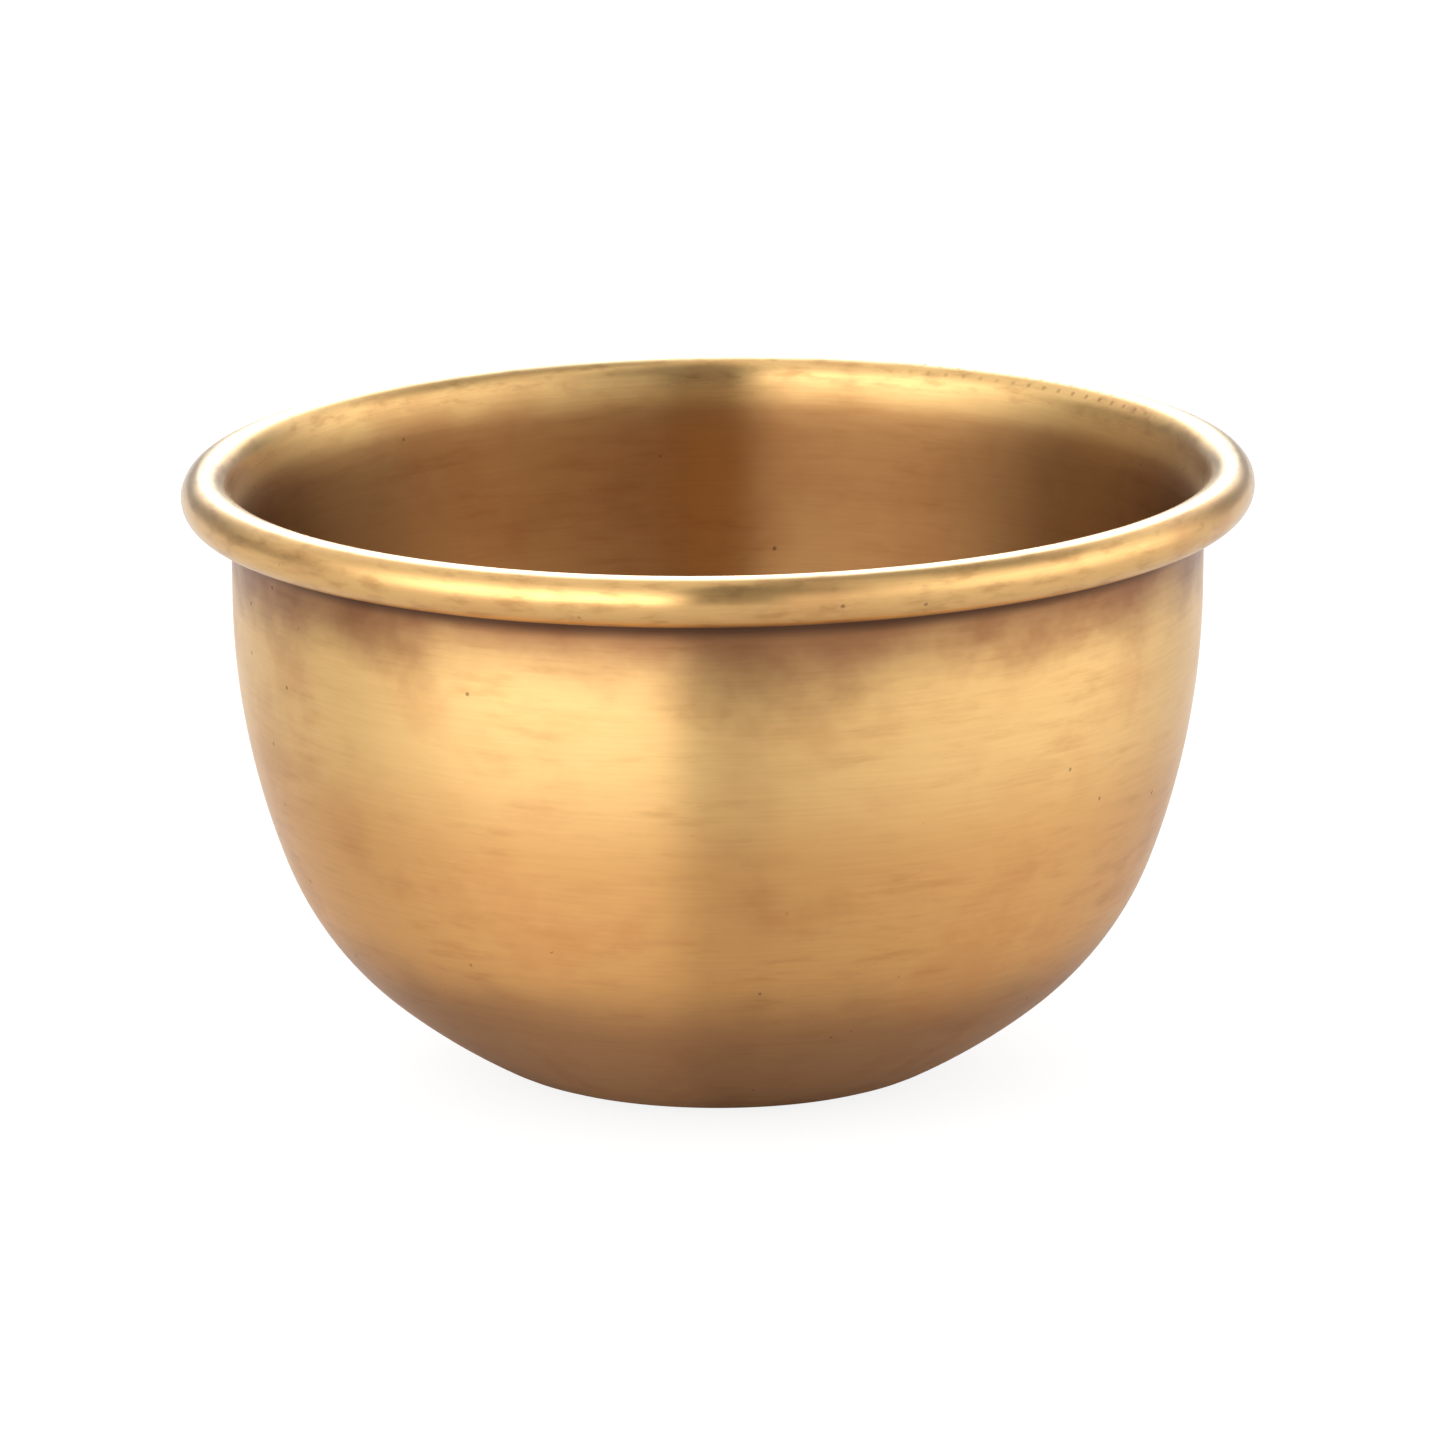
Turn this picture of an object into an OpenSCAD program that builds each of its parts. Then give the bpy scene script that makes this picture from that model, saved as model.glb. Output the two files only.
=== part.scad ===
// Spun brass shaving bowl: one turned sheet with a rolled rim over a stiffening wire.
// The origin is the centre of the flat foot, on the surface the bowl stands on. +Z is up.

/* [Overall size] */
// Diameter over the rolled rim
rim_d = 114; // [113.8:0.1:115]
// Height from the foot to the top of the rim
bowl_h = 65.5; // [63:0.5:68]
// Thickness of the brass sheet
sheet_t = 1; // [0.6:0.1:1.2]

/* [Wall curve] */
// Diameter of the flat foot
foot_d = 38; // [37.6:0.1:38.3]
// Radius of the bend at the edge of the foot
foot_bend_r = 12; // [8:0.1:12.3]
// Slope of the wall where the foot bend ends, in degrees
foot_bend_end = 28; // [27.8:0.1:29]
// Radius of the shallow lower part of the wall
lower_r = 68; // [67:0.5:69]
// Slope of the wall where the lower part ends, in degrees
lower_end = 39; // [38.5:0.1:39.3]
// Radius of the belly, the tightest part of the wall
belly_r = 35.5; // [35:0.5:36]
// Slope of the wall where the belly ends, in degrees
belly_end = 69; // [68.5:0.5:69.5]
// Radius of the nearly upright side
side_r = 80; // [78:1:83]
// Slope of the wall where the side becomes straight, in degrees
side_end = 89.5; // [88:0.5:90]

/* [Rolled rim] */
// Diameter of the rolled bead's section
bead_d = 5.3; // [5.1:0.1:5.4]
// Radius of the outward flare that leads the wall into the bead
flare_r = 18; // [10:1:24]
// How far past straight down the free edge is tucked back to the wall, in degrees
tuck_angle = 48; // [30:1:50]
// Clearance all round the stiffening wire inside the bead
wire_gap = 0.05; // [0.03:0.01:0.3]

/* [Hidden] */

// Largest distance between a true arc and its chords, and the facets of a full turn
chord_gap = 0.01;
$fn = 180;

// Directions along the wall at a slope, and square to it towards the inside and the outside
function along(slope) = [cos(slope), sin(slope)];
function inward(slope) = [-sin(slope), cos(slope)];
function outward(slope) = [sin(slope), -cos(slope)];

// Centres of the four wall arcs, each tangent to the one before
foot_bend_c = [foot_d / 2, foot_bend_r];
lower_c = foot_bend_c + (lower_r - foot_bend_r) * inward(foot_bend_end);
belly_c = lower_c + (belly_r - lower_r) * inward(lower_end);
side_c = belly_c + (side_r - belly_r) * inward(belly_end);
side_top = side_c + side_r * outward(side_end);

// The bead's centre, and its place measured along and square to the straight top of the wall
bead_c = [(rim_d - bead_d) / 2, bowl_h - bead_d / 2];
curl_r = bead_d / 2 - sheet_t;
wire_r = curl_r - wire_gap;
reach_up = (bead_c - side_top) * along(side_end);
reach_out = (bead_c - side_top) * outward(side_end);

// The flare turns just far enough for the curl to follow it without a kink
flare_turn = acos((flare_r - reach_out) / (flare_r - curl_r));
flare_end = side_end - flare_turn;
straight_l = reach_up - (flare_r - curl_r) * sin(flare_turn);
flare_c = side_top + straight_l * along(side_end) + flare_r * outward(side_end);

// Points of an arc about a centre, from one angle to another, within the chord gap
function steps(r, turn) = ceil(abs(turn) / (2 * acos(1 - chord_gap / r)));
function arc(c, r, from, to) =
    let (n = steps(r, to - from))
    [for (i = [0 : n]) c + r * along(from + (to - from) * i / n)];

// One face of the sheet from the axis to the free edge, at a depth inside the outer face
function sheet_face(depth) = concat(
    [[0, depth]],
    arc(foot_bend_c, foot_bend_r - depth, -90, foot_bend_end - 90),
    arc(lower_c, lower_r - depth, foot_bend_end - 90, lower_end - 90),
    arc(belly_c, belly_r - depth, lower_end - 90, belly_end - 90),
    arc(side_c, side_r - depth, belly_end - 90, side_end - 90),
    arc(flare_c, flare_r + depth, side_end + 90, flare_end + 90),
    arc(bead_c, curl_r + depth, flare_end + 90, -90 - tuck_angle)
);

// A list without the points that repeat the one before, as where two arcs meet
function distinct(points) = [
    for (i = [0 : len(points) - 1])
    if (i == 0 || norm(points[i] - points[max(i - 1, 0)]) > chord_gap / 10) points[i]
];

function reversed(points) = [for (i = [len(points) - 1 : -1 : 0]) points[i]];

// The bowl itself: foot, wall and rolled rim are one spun sheet
module bowl_shell() {
    color([0.72, 0.52, 0.28])
    rotate_extrude()
    polygon(concat(distinct(sheet_face(0)), reversed(distinct(sheet_face(sheet_t)))));
}

// The wire ring that the rim is rolled over, just clear of the sheet
module rim_wire() {
    color([0.62, 0.60, 0.56])
    rotate_extrude()
    translate(bead_c)
    circle(r = wire_r);
}

bowl_shell();
rim_wire();
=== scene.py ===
"""Shaving bowl: the spun brass shell and the wire in its rim, on a pale studio floor."""
import math

import bpy
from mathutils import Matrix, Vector, noise


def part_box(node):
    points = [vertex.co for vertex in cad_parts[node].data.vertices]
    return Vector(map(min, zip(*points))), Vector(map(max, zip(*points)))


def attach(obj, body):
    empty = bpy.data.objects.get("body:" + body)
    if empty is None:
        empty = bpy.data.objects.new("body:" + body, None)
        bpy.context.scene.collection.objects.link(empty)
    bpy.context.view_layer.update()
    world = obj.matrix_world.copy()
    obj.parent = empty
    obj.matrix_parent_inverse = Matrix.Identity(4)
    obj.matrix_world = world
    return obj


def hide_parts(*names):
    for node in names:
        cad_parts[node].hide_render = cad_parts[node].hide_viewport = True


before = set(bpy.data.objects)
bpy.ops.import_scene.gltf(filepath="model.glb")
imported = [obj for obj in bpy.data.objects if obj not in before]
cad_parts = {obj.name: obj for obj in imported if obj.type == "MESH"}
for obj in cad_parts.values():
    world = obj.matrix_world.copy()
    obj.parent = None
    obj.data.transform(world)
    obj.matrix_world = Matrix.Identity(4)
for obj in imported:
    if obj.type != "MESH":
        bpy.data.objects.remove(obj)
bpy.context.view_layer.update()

MM = 0.001

# ---------------------------------------------------------------- the sheet's section, in mm

shell_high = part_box("bowl_shell")[1]
wire_low, wire_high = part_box("rim_wire")
RIM_R = shell_high[0] / MM
HEIGHT = shell_high[2] / MM
SHEET_T = 1.0
WIRE_R = (wire_high[2] - wire_low[2]) / 2 / MM
WIRE_GAP = 0.05
CURL_R = WIRE_R + WIRE_GAP
BEAD_R = CURL_R + SHEET_T
BEAD_C = Vector((RIM_R - BEAD_R, HEIGHT - BEAD_R))

# The flat foot, and the wall's arcs from there up: each one's radius, and the wall's slope in
# degrees where it ends
FOOT_R = 19.0
WALL_ARCS = [(12.0, 28.0), (68.0, 39.0), (35.5, 69.0), (80.0, 89.5)]
# The outward flare that leads the wall into the bead
FLARE_R = 18.0
# How far past straight down the curl is tucked back to the wall, in degrees
TUCK_ANGLE = 48.0
# The cut edge has two rounded corners of this radius, with points at these angles, in radians
EDGE_R = 0.2
OUTER_CORNER = (0.5, 1.05, 1.57)
INNER_CORNER = (0.0, 0.52, 1.07)

# Segments in a full turn, and the longest steps along the section, in mm
TURN_SEGMENTS = 288
WIRE_SEGMENTS = 24
ARC_STEP = {"wall": 1.3, "flare": 0.7, "bead": 0.35}


def along(degrees):
    """Unit vector at an angle in the section's plane."""
    a = math.radians(degrees)
    return Vector((math.cos(a), math.sin(a)))


def arc(centre, radius, start, end, step):
    """Points of an arc in the section, no further apart than step."""
    turn = math.radians(abs(end - start))
    count = max(2, math.ceil(turn * radius / step))
    return [centre + radius * along(start + (end - start) * i / count) for i in range(count + 1)]


def straight(a, b, step):
    """Points of a straight run, without its two ends."""
    count = max(1, math.ceil((b - a).length / step))
    return [a.lerp(b, i / count) for i in range(1, count)]


def sheet_face(depth):
    """One face of the sheet from the axis to the free edge, at a depth inside the outer face."""
    centre = Vector((FOOT_R, WALL_ARCS[0][0]))
    start = Vector((FOOT_R, depth))
    points = straight(Vector((0.0, depth)), start, ARC_STEP["wall"])
    slope, radius = 0.0, WALL_ARCS[0][0]
    for next_radius, end in WALL_ARCS:
        centre = centre + (next_radius - radius) * along(slope + 90)
        points += arc(centre, next_radius - depth, slope - 90, end - 90, ARC_STEP["wall"])[:-1]
        slope, radius = end, next_radius
    side_top = centre + radius * along(slope - 90)

    # the flare turns just far enough for the curl to follow it without a kink
    reach = BEAD_C - side_top
    reach_up, reach_out = reach.dot(along(slope)), reach.dot(along(slope - 90))
    turn = math.degrees(math.acos((FLARE_R - reach_out) / (FLARE_R - CURL_R)))
    run = reach_up - (FLARE_R - CURL_R) * math.sin(math.radians(turn))
    flare_c = side_top + run * along(slope) + FLARE_R * along(slope - 90)
    wall_end = centre + (radius - depth) * along(slope - 90)
    flare_start = flare_c + (FLARE_R + depth) * along(slope + 90)
    points += [wall_end] + straight(wall_end, flare_start, ARC_STEP["wall"])
    points += arc(flare_c, FLARE_R + depth, slope + 90, slope - turn + 90, ARC_STEP["flare"])[:-1]
    points += arc(BEAD_C, CURL_R + depth, slope - turn + 90, -90 - TUCK_ANGLE, ARC_STEP["bead"])
    return points


def free_edge(outer_end, inner_end):
    """The rounded cut edge of the curled sheet, from the outer face's end to the inner one's."""
    tangent = (inner_end - outer_end).normalized()
    ahead = Vector((tangent.y, -tangent.x))
    low = outer_end + tangent * EDGE_R
    high = inner_end - tangent * EDGE_R
    outer = [low + EDGE_R * (ahead * math.sin(a) - tangent * math.cos(a)) for a in OUTER_CORNER]
    inner = [high + EDGE_R * (ahead * math.cos(a) + tangent * math.sin(a)) for a in INNER_CORNER]
    return outer + inner


# ---------------------------------------------------------------- hand-made unevenness

# The rim stands higher at +X: its plane is this much out of level, and the wall takes that up
# from this share of the height
RIM_TILT = math.tan(math.radians(0.76))
TILT_START = 0.35
# The wall swells in and out by up to this much, in patches of about this size, in mm, and the
# swell fades in between these shares of the height
SWELL, SWELL_SIZE = 0.06, 24.0
SWELL_START, SWELL_FULL = 0.02, 0.2


def smoothstep(low, high, x):
    t = min(max((x - low) / (high - low), 0.0), 1.0)
    return t * t * (3 - 2 * t)


def uneven(point):
    """Moves a point of the true turned shape to where hand spinning leaves it, all in mm."""
    x, y, z = point
    level = smoothstep(TILT_START, 1.0, z / HEIGHT)
    swell = SWELL * noise.noise(Vector((x, y, z)) / SWELL_SIZE)
    swell *= smoothstep(SWELL_START, SWELL_FULL, z / HEIGHT)
    grow = 1 + swell / max(math.hypot(x, y), 1.0)
    return Vector((x * grow, y * grow, z + RIM_TILT * x * level))


# ---------------------------------------------------------------- mesh pieces


def revolve(section, closed):
    """A turned mesh from a section. Each vertex keeps how far along the section it is."""
    lengths, total = [], 0.0
    for i, p in enumerate(section):
        total += (p - section[i - 1]).length if i else 0.0
        lengths.append(total)
    verts, faces, meridian = [], [], []
    for p, s in zip(section, lengths):
        for k in range(TURN_SEGMENTS):
            a = 2 * math.pi * k / TURN_SEGMENTS
            verts.append(uneven((p.x * math.cos(a), p.x * math.sin(a), p.y)) * MM)
            meridian.append(s * MM)
    rings = len(section)
    for i in range(rings if closed else rings - 1):
        j = (i + 1) % rings
        for k in range(TURN_SEGMENTS):
            m = (k + 1) % TURN_SEGMENTS
            faces.append((i * TURN_SEGMENTS + k, i * TURN_SEGMENTS + m,
                          j * TURN_SEGMENTS + m, j * TURN_SEGMENTS + k))
    return verts, faces, meridian


def make_object(name, verts, faces, meridian, material):
    mesh = bpy.data.meshes.new(name)
    mesh.from_pydata(verts, [], faces)
    mesh.validate()
    mesh.update()
    attribute = mesh.attributes.new("meridian", "FLOAT", "POINT")
    attribute.data.foreach_set("value", meridian)
    mesh.polygons.foreach_set("use_smooth", [True] * len(mesh.polygons))
    obj = bpy.data.objects.new(name, mesh)
    bpy.context.scene.collection.objects.link(obj)
    mesh.materials.append(material)
    return obj


def bowl_shell(material):
    outer, inner = sheet_face(0.0), sheet_face(SHEET_T)
    section = outer + free_edge(outer[-1], inner[-1]) + inner[::-1]
    verts, faces, meridian = revolve(section, closed=False)
    # one vertex on the axis closes the foot below and above
    below, above = len(verts), len(verts) + 1
    last = (len(section) - 1) * TURN_SEGMENTS
    verts += [Vector((0, 0, 0)), Vector((0, 0, SHEET_T * MM))]
    meridian += [0.0, meridian[last]]
    for k in range(TURN_SEGMENTS):
        m = (k + 1) % TURN_SEGMENTS
        faces.append((below, m, k))
        faces.append((above, last + k, last + m))
    return make_object("spun_bowl", verts, faces, meridian, material)


def rim_wire(material):
    ring = [BEAD_C + WIRE_R * along(-360 * i / WIRE_SEGMENTS) for i in range(WIRE_SEGMENTS)]
    verts, faces, meridian = revolve(ring, closed=True)
    return make_object("stiffening_wire", verts, faces, meridian, material)


# ---------------------------------------------------------------- materials

BUMP_DEPTH = 0.004 * MM
# The chatter's waves in a full turn, and its radians of wave per mm of sheet
CHATTER_WAVES, CHATTER_RISE = 152.0, 2.6


class Graph:
    """A material's node tree with short calls for the nodes used here."""

    def __init__(self, name):
        self.material = bpy.data.materials.new(name)
        self.material.use_nodes = True
        self.tree = self.material.node_tree
        self.shader = self.tree.nodes["Principled BSDF"]

    def node(self, kind, inputs=(), **settings):
        made = self.tree.nodes.new(kind)
        for key, value in settings.items():
            setattr(made, key, value)
        for key, value in dict(inputs).items():
            self.put(value, made.inputs[key])
        return made

    def put(self, value, socket):
        if isinstance(value, bpy.types.NodeSocket):
            self.tree.links.new(value, socket)
        else:
            socket.default_value = value

    def math(self, operation, a, b=0.0, c=0.0):
        return self.node("ShaderNodeMath", {0: a, 1: b, 2: c}, operation=operation).outputs[0]

    def remap(self, value, low, high, to_low=0.0, to_high=1.0, smooth=True):
        """Carries low..high over to to_low..to_high, and holds the value at either end."""
        made = self.node("ShaderNodeMapRange", {0: value, 1: low, 2: high, 3: to_low, 4: to_high},
                         interpolation_type="SMOOTHSTEP" if smooth else "LINEAR")
        return made.outputs[0]

    def mix(self, fac, a, b, blend="MIX"):
        """Mixes two colours, which are a Mix node's sockets 6 and 7, with output 2."""
        made = self.node("ShaderNodeMix", data_type="RGBA", blend_type=blend)
        self.put(fac, made.inputs["Factor"])
        self.put(a, made.inputs[6])
        self.put(b, made.inputs[7])
        return made.outputs[2]

    def product(self, *factors):
        total = factors[0]
        for factor in factors[1:]:
            total = self.math("MULTIPLY", total, factor)
        return total


class TurnedSpace:
    """Texture positions that follow the lathe: round the axis, and along the section."""

    def __init__(self, graph):
        self.graph = graph
        place = graph.node("ShaderNodeTexCoord").outputs["Object"]
        split = graph.node("ShaderNodeSeparateXYZ", {0: place})
        flat = graph.node("ShaderNodeCombineXYZ", {0: split.outputs[0], 1: split.outputs[1]})
        unit = graph.node("ShaderNodeVectorMath", {0: flat.outputs[0]}, operation="NORMALIZE")
        around = graph.node("ShaderNodeSeparateXYZ", {0: unit.outputs[0]})
        self.cos, self.sin = around.outputs[:2]
        self.angle = graph.math("ARCTAN2", split.outputs[1], split.outputs[0])
        self.meridian = graph.node("ShaderNodeAttribute", attribute_name="meridian").outputs["Fac"]

    def vector(self, around, across, shift):
        """A position that repeats more often round the axis, or per metre along the section."""
        g = self.graph
        parts = {0: g.math("MULTIPLY_ADD", self.cos, around, shift),
                 1: g.math("MULTIPLY", self.sin, around),
                 2: g.math("MULTIPLY", self.meridian, across)}
        return g.node("ShaderNodeCombineXYZ", parts).outputs[0]

    def noise(self, around, across, detail=4.0, rough=0.5, shift=0.0):
        inputs = {"Vector": self.vector(around, across, shift), "Scale": 1.0,
                  "Detail": detail, "Roughness": rough}
        return self.graph.node("ShaderNodeTexNoise", inputs).outputs["Fac"]

    def cells(self, around, across):
        inputs = {"Vector": self.vector(around, across, 0.0), "Scale": 1.0, "Randomness": 1.0}
        return self.graph.node("ShaderNodeTexVoronoi", inputs)


def aged_brass():
    g = Graph("aged_brass")
    t = TurnedSpace(g)
    # how far along the sheet, in mm: 0 is the middle of the foot, 104 the free edge under the
    # bead, 117 the top of the bead, and past 120 the inside
    sheet = g.math("MULTIPLY", t.meridian, 1 / MM)

    # patina: cloudy patches drawn out round the bowl, and wisps of brushing that come and go
    cloud = t.noise(4.0, 95.0, detail=4.0, rough=0.55, shift=31.0)
    patch = t.noise(3.0, 60.0, detail=2.0, rough=0.5, shift=61.0)
    wisp = t.noise(6.0, 650.0, detail=5.0, rough=0.62, shift=11.0)
    line = t.noise(5.0, 3000.0, detail=3.0, rough=0.6, shift=17.0)
    smudge = t.noise(15.0, 800.0, detail=4.0, rough=0.55, shift=47.0)
    band = t.noise(1.3, 260.0, detail=3.0, rough=0.5, shift=23.0)
    place = g.math("ADD", sheet, g.remap(cloud, 0.2, 0.8, -2.5, 2.5, smooth=False))

    # the band under the rim, tarnish with painted shade under the bead, reaches lowest at the front
    sideways = g.math("ABSOLUTE", g.math("SUBTRACT", t.cos, 0.10))
    front = g.product(g.remap(sideways, 0.35, 0.05), g.remap(t.sin, -0.5, -0.9))
    under_rim = g.math("MULTIPLY_ADD", front, 2.4, g.math("SUBTRACT", place, 1.0))

    # the sheet's colour, from the foot up the outside, over the rim and down the inside, partly
    # tarnish and partly painted shade and painted highlight: each colour takes over between two places
    # painted shade: the foot is darker, for the shadowed floor it mirrors
    shaded_foot = (0.44, 0.230, 0.100, 1)
    wall = (0.76, 0.412, 0.150, 1)
    # painted sheen: the upper wall is lighter all round
    painted_sheen = (0.90, 0.570, 0.228, 1)
    # tarnish, darkened further with painted shade under the bead
    tarnish_and_shade = (0.37, 0.175, 0.080, 1)
    # dark patina and painted shade in the crease under the bead
    crevice_dirt_and_shade = (0.12, 0.060, 0.036, 1)
    bead = (0.77, 0.470, 0.185, 1)
    # painted shade: a darker stripe on the bead's upper side keeps its highlight lower down
    shaded_crest = (0.53, 0.330, 0.130, 1)
    # painted highlight: a pale line along the top of the bead
    painted_highlight_line = (0.95, 0.760, 0.480, 1)
    lip = (0.60, 0.385, 0.155, 1)
    # tarnish and painted shade inside the bowl
    inside_tarnish_and_shade = (0.385, 0.214, 0.083, 1)
    changes = [
        (place, 41.0, 53.0, wall), (place, 63.0, 77.0, painted_sheen), (under_rim, 81.5, 91.5, tarnish_and_shade),
        (sheet, 90.2, 91.8, crevice_dirt_and_shade), (sheet, 107.0, 110.0, bead), (sheet, 112.9, 114.3, shaded_crest),
        (sheet, 115.0, 115.7, painted_highlight_line), (sheet, 116.8, 117.8, lip), (sheet, 121.2, 123.8, inside_tarnish_and_shade),
        (place, 146.0, 165.0, wall),
    ]
    colour = shaded_foot
    for where, start, full, tone in changes:
        colour = g.mix(g.remap(where, start, full), colour, tone)

    def darken(amount, tint):
        return g.mix(amount, colour, tint + (1,), "MULTIPLY")

    rim = g.product(g.remap(sheet, 107.0, 109.0), g.remap(sheet, 122.0, 119.0))
    wisps = g.product(g.remap(wisp, 0.46, 0.78), g.remap(patch, 0.35, 0.65, 0.15, 0.80))
    smudges = g.product(rim, g.remap(smudge, 0.48, 0.72, 0.0, 0.5))
    colour = darken(g.remap(cloud, 0.46, 0.74, 0.0, 0.55), (0.82, 0.68, 0.66))
    colour = darken(wisps, (0.82, 0.72, 0.67))
    colour = darken(g.remap(line, 0.35, 0.65, 0.0, 0.22), (0.84, 0.80, 0.76))
    colour = darken(smudges, (0.60, 0.52, 0.47))

    # chatter: a faint lattice of dots that the rolling tool left on part of the rim
    round_turn = g.math("COSINE", g.math("MULTIPLY", t.angle, CHATTER_WAVES))
    up_turn = g.math("COSINE", g.math("MULTIPLY", sheet, CHATTER_RISE))
    dots = g.product(g.remap(g.product(round_turn, up_turn), 0.55, 0.95),
                     g.remap(t.angle, 0.35, 0.60), g.remap(t.angle, 1.25, 1.00),
                     g.remap(sheet, 112.5, 113.5), g.remap(sheet, 119.5, 118.0),
                     g.remap(patch, 0.3, 0.6, 0.2, 0.8))
    colour = darken(dots, (0.50, 0.42, 0.38))

    # specks: small dark pits, thinly spread, in loose groups
    speck = t.cells(40.0, 760.0)
    near = g.remap(speck.outputs["Distance"], 0.10, 0.24, 1.0, 0.0)
    lot = g.node("ShaderNodeSeparateColor", {0: speck.outputs["Color"]}).outputs[0]
    picked = g.math("GREATER_THAN", lot, g.remap(patch, 0.45, 0.65, 0.995, 0.955))
    pits = g.product(near, picked)
    colour = g.mix(g.product(pits, 0.5), colour, (0.16, 0.080, 0.045, 1))

    # the rim is smoother, from handling
    rough = g.remap(line, 0.3, 0.7, 0.32, 0.35, smooth=False)
    rough = g.math("ADD", rough, g.remap(cloud, 0.45, 0.8, 0.0, 0.04))
    rough = g.math("SUBTRACT", rough, g.product(rim, 0.13))
    rough = g.math("ADD", rough, g.product(pits, 0.2))

    height = g.product(line, 0.4)
    height = g.math("MULTIPLY_ADD", wisp, 0.6, height)
    height = g.math("MULTIPLY_ADD", band, 1.5, height)
    height = g.math("MULTIPLY_ADD", pits, -3.0, height)
    bump = g.node("ShaderNodeBump", {"Strength": 1.0, "Distance": BUMP_DEPTH, "Height": height})

    tangent = g.node("ShaderNodeTangent", direction_type="RADIAL", axis="Z")
    g.put(colour, g.shader.inputs["Base Color"])
    g.put(rough, g.shader.inputs["Roughness"])
    g.put(1.0, g.shader.inputs["Metallic"])
    g.put(1.0, g.shader.inputs["Anisotropic"])
    g.put(0.25, g.shader.inputs["Anisotropic Rotation"])
    g.put(tangent.outputs[0], g.shader.inputs["Tangent"])
    g.put(bump.outputs[0], g.shader.inputs["Normal"])
    return g.material


def drawn_wire():
    g = Graph("drawn_steel_wire")
    t = TurnedSpace(g)
    dies = t.noise(2.0, 9000.0, detail=3.0)
    stain = t.noise(14.0, 300.0, detail=4.0, shift=5.0)
    g.put(g.mix(g.remap(stain, 0.45, 0.75), (0.45, 0.44, 0.42, 1), (0.26, 0.20, 0.15, 1)),
          g.shader.inputs["Base Color"])
    g.put(g.remap(dies, 0.3, 0.7, 0.32, 0.46), g.shader.inputs["Roughness"])
    g.put(1.0, g.shader.inputs["Metallic"])
    bump = g.node("ShaderNodeBump", {"Distance": BUMP_DEPTH, "Height": dies})
    g.put(bump.outputs[0], g.shader.inputs["Normal"])
    return g.material


def pale_floor(name, glow, grey):
    """A plain floor that shows some light of its own, so that shadows on it stay faint."""
    g = Graph(name)
    g.put((grey, grey, grey, 1), g.shader.inputs["Base Color"])
    g.put(1.0, g.shader.inputs["Roughness"])
    g.put(0.0, g.shader.inputs["Specular IOR Level"])
    g.put((1, 1, 1, 1), g.shader.inputs["Emission Color"])
    g.put(glow, g.shader.inputs["Emission Strength"])
    return g.material


# ---------------------------------------------------------------- studio

# A long lens a little above the rim: elevation in degrees, lens and film in mm, the rest in m
CAMERA_ELEVATION = 13.6
CAMERA_DISTANCE = 25 * RIM_R * MM
CAMERA_AIM = Vector((0.0005, 0.0, 0.0370))
CAMERA_LENS = 332.8
CAMERA_FILM = 36.0

# Strength of the room's own light at the walls and the ceiling, and of the three soft lights
ROOM_LOW, ROOM_HIGH = 0.45, 1.45
LEFT_LIGHT, RIGHT_LIGHT, BACK_LIGHT = 2.75, 1.5, 3.0

# Half the floor's side, in m
FLOOR_REACH = 30.0


def camera():
    elevation = math.radians(CAMERA_ELEVATION)
    towards = Vector((0, -math.cos(elevation), math.sin(elevation)))
    data = bpy.data.cameras.new("camera")
    data.sensor_width = CAMERA_FILM
    data.lens = CAMERA_LENS
    data.clip_end = 50.0
    obj = bpy.data.objects.new("camera", data)
    obj.location = CAMERA_AIM + CAMERA_DISTANCE * towards
    obj.rotation_euler = towards.to_track_quat("Z", "Y").to_euler()
    bpy.context.scene.collection.objects.link(obj)
    bpy.context.scene.camera = obj


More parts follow.
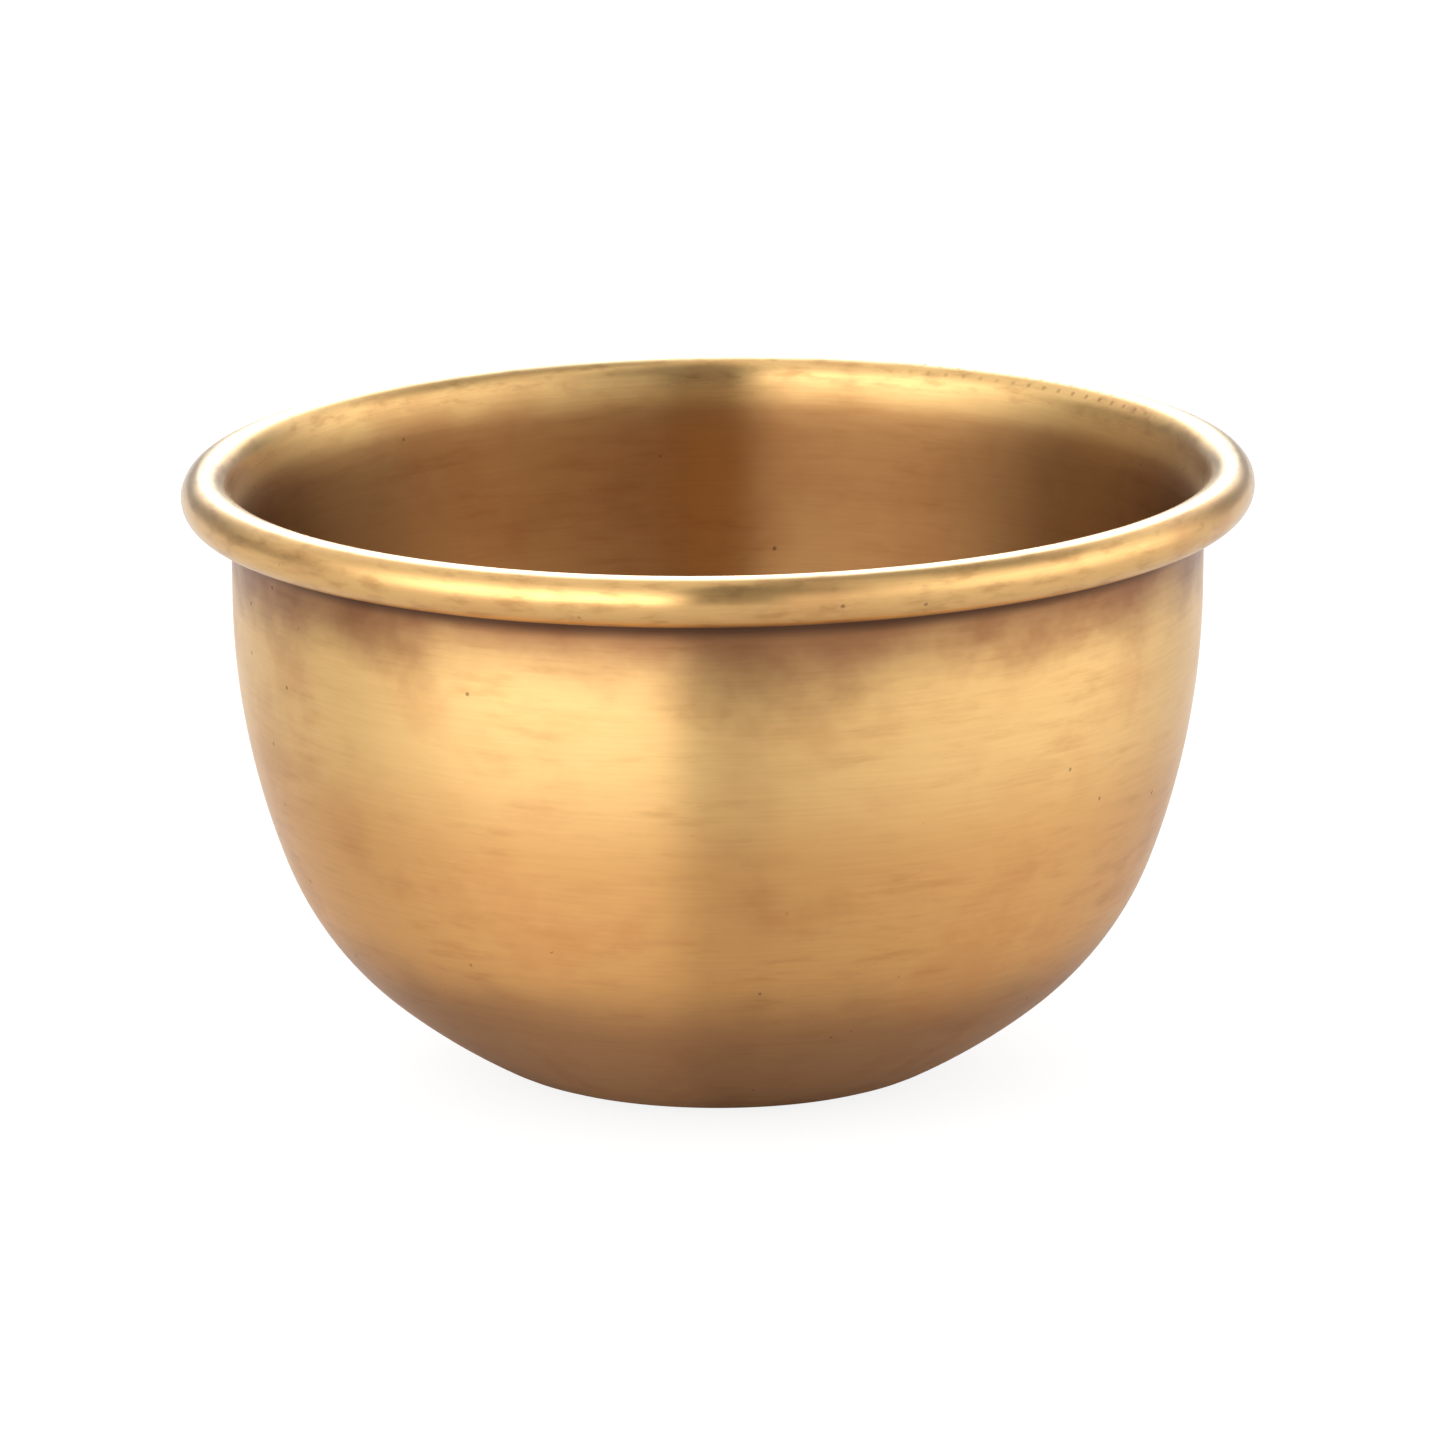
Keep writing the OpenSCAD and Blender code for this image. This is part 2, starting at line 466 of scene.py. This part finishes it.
def sky():
    """A dim room with a bright wall of soft light on the left, a weaker one that fades in on the
    right, a strip of light behind, and a pale ceiling. Azimuth 0 is the camera's side, and + is
    to the right. Height runs from 0 at the horizon to 1 overhead. The camera sees only white."""
    world = bpy.data.worlds.new("studio")
    world.use_nodes = True
    tree = world.node_tree

    def node(kind, *inputs, **settings):
        made = tree.nodes.new(kind)
        for key, value in settings.items():
            setattr(made, key, value)
        for socket, value in zip(made.inputs, inputs):
            if isinstance(value, bpy.types.NodeSocket):
                tree.links.new(value, socket)
            else:
                socket.default_value = value
        return made.outputs[0]

    def fade(value, start, end, low=0.0, high=1.0):
        return node("ShaderNodeMapRange", value, start, end, low, high, interpolation_type="SMOOTHSTEP")

    def calc(operation, a, b=0.0):
        return node("ShaderNodeMath", a, b, operation=operation)

    def product(*factors):
        total = factors[0]
        for factor in factors[1:]:
            total = calc("MULTIPLY", total, factor)
        return total

    def dim(light, where, share):
        return product(light, calc("SUBTRACT", 1.0, product(where, share)))

    split = tree.nodes.new("ShaderNodeSeparateXYZ")
    tree.links.new(tree.nodes.new("ShaderNodeTexCoord").outputs["Generated"], split.inputs[0])
    x, y, height = split.outputs
    azimuth = calc("DEGREES", calc("ARCTAN2", x, product(y, -1.0)))

    # the ceiling is dimmer over the camera and in the far corner on the right
    over_camera = product(fade(azimuth, -25.0, -6.0), fade(azimuth, 60.0, 18.0), fade(height, 0.20, 0.45))
    far_corner = product(fade(x, -0.02, 0.12), fade(y, -0.10, 0.10), fade(height, 0.60, 0.85))
    room = fade(height, 0.20, 0.60, ROOM_LOW, ROOM_HIGH)
    room = dim(dim(room, over_camera, 0.70), far_corner, 0.60)

    left = product(fade(azimuth, -105.0, -45.0), fade(azimuth, -3.0, -16.0),
                   fade(height, 0.90, 0.30, 0.0, LEFT_LIGHT))
    rise = calc("ADD", fade(azimuth, 9.0, 18.0, 0.0, 0.50), fade(azimuth, 25.0, 90.0, 0.0, 0.50))
    right = product(rise, fade(azimuth, 145.0, 95.0), fade(height, 0.80, 0.20, 0.0, RIGHT_LIGHT))
    behind = product(fade(calc("ABSOLUTE", azimuth), 150.0, 170.0), fade(height, 0.10, 0.34),
                     fade(height, 0.90, 0.50, 0.0, BACK_LIGHT))
    light = calc("ADD", calc("ADD", room, behind), calc("ADD", left, right))

    seen = tree.nodes.new("ShaderNodeLightPath").outputs["Is Camera Ray"]
    strength = node("ShaderNodeMapRange", seen, 0.0, 1.0, light, 1.0)
    tree.links.new(strength, tree.nodes["Background"].inputs["Strength"])
    tree.nodes["Background"].inputs["Color"].default_value = (1, 1, 1, 1)
    bpy.context.scene.world = world


def floor(name, depth, glow, grey):
    """A square floor that reaches out of sight, at a depth in mm under the bowl."""
    side, z = FLOOR_REACH, -depth * MM
    mesh = bpy.data.meshes.new(name)
    mesh.from_pydata([(-side, -side, z), (side, -side, z), (side, side, z), (-side, side, z)],
                     [], [(0, 1, 2, 3)])
    mesh.materials.append(pale_floor(name, glow, grey))
    obj = bpy.data.objects.new(name, mesh)
    bpy.context.scene.collection.objects.link(obj)
    return obj


def studio():
    sky()
    # one floor is what the camera sees, and the one just under it is what the brass mirrors
    seen = floor("seen_floor", depth=0.02, glow=0.86, grey=0.20)
    seen.visible_diffuse = False
    seen.visible_glossy = False
    seen.visible_transmission = False
    seen.visible_shadow = False
    mirrored = floor("mirrored_floor", depth=0.10, glow=0.0, grey=0.62)
    mirrored.visible_camera = False

    bpy.context.scene.view_settings.view_transform = "Standard"


camera()
brass = aged_brass()
bowl = bowl_shell(brass)
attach(bowl, "root")
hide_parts("bowl_shell")
wire = rim_wire(drawn_wire())
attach(wire, "root")
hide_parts("rim_wire")
studio()
